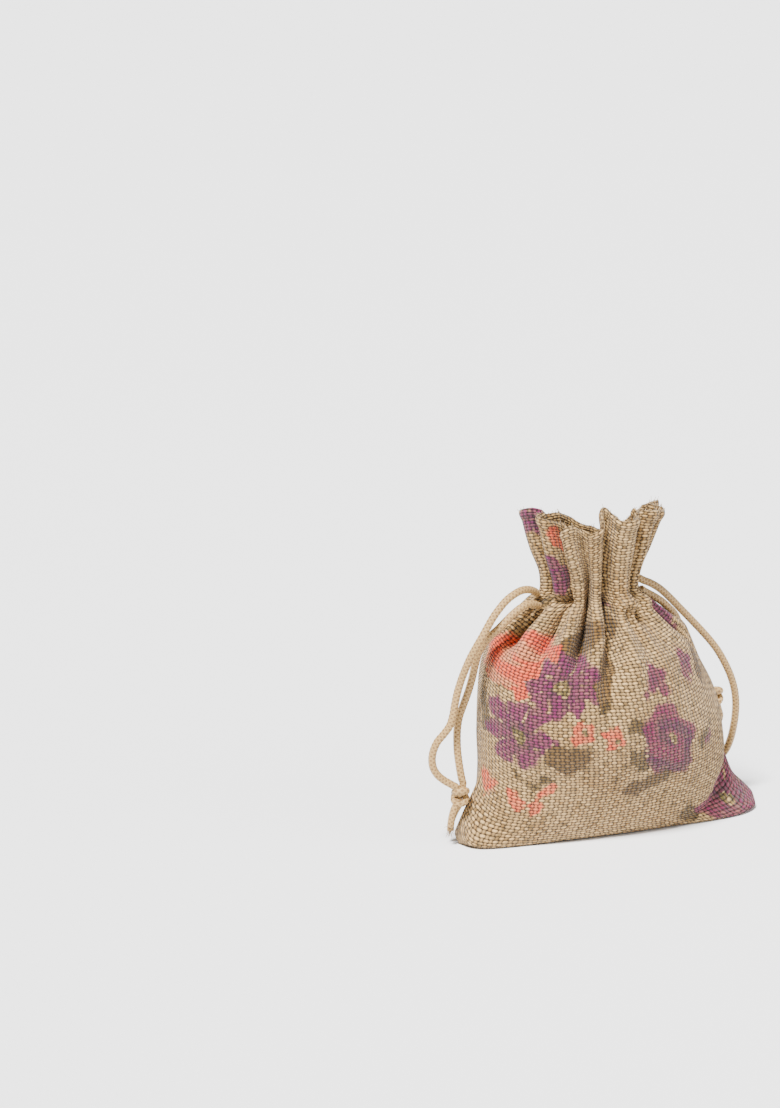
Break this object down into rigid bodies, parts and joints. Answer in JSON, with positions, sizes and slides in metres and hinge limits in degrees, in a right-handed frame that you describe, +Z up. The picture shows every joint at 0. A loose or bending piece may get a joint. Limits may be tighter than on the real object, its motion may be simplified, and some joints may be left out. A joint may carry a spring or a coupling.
{
  "type": "burlap bag",
  "caption": "Small upright drawstring bag of printed burlap, gathered at the neck below a ruffled heading, with knotted pairs of braided cord ends hanging at both sides.",
  "frame": {"origin": "on the floor under the middle of the bag's bottom fold", "axes": "+Z up the bag, +X along its width to the right seen from the front, +Y from the front to the back"},
  "size_m": [0.1098, 0.0506, 0.1017],
  "materials": {
    "burlap": "coarse plain weave, printed",
    "cord": "braided, slightly glossy"
  },
  "bodies": {
    "root": {"bag_cloth": "burlap", "cord_left_outer": "cord", "cord_left_inner": "cord", "cord_right_outer": "cord", "cord_right_inner": "cord", "knot_left": "cord", "knot_right": "cord"}
  },
  "joints": []
}
